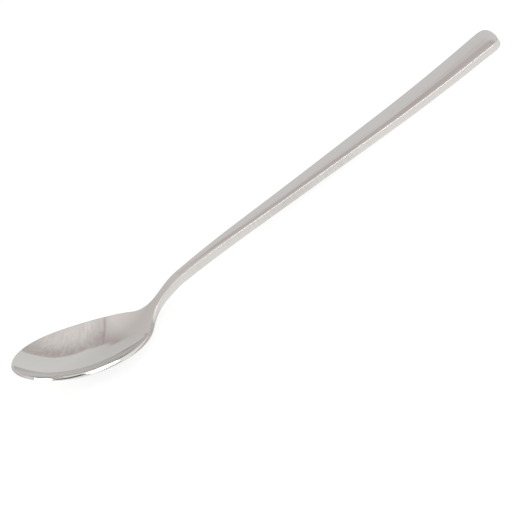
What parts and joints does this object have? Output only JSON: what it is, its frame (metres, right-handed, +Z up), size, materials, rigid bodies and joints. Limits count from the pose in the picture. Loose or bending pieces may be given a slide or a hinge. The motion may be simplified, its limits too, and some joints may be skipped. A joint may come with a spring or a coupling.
{
  "type": "korean table spoon",
  "caption": "Long-handled table spoon of polished stainless steel with a shallow oval bowl, a raised neck and a flat tapered handle with a rounded end.",
  "frame": {"origin": "centre of the spoon's footprint, on the table it lies on", "axes": "+X from the tip of the bowl to the end of the handle, +Y across the spoon, +Z up from the table"},
  "size_m": [0.2133, 0.0412, 0.02],
  "materials": {
    "stainless_steel": "mirror polished stainless steel with fine ground edges"
  },
  "bodies": {
    "root": {"spoon": "stainless_steel"}
  },
  "joints": []
}
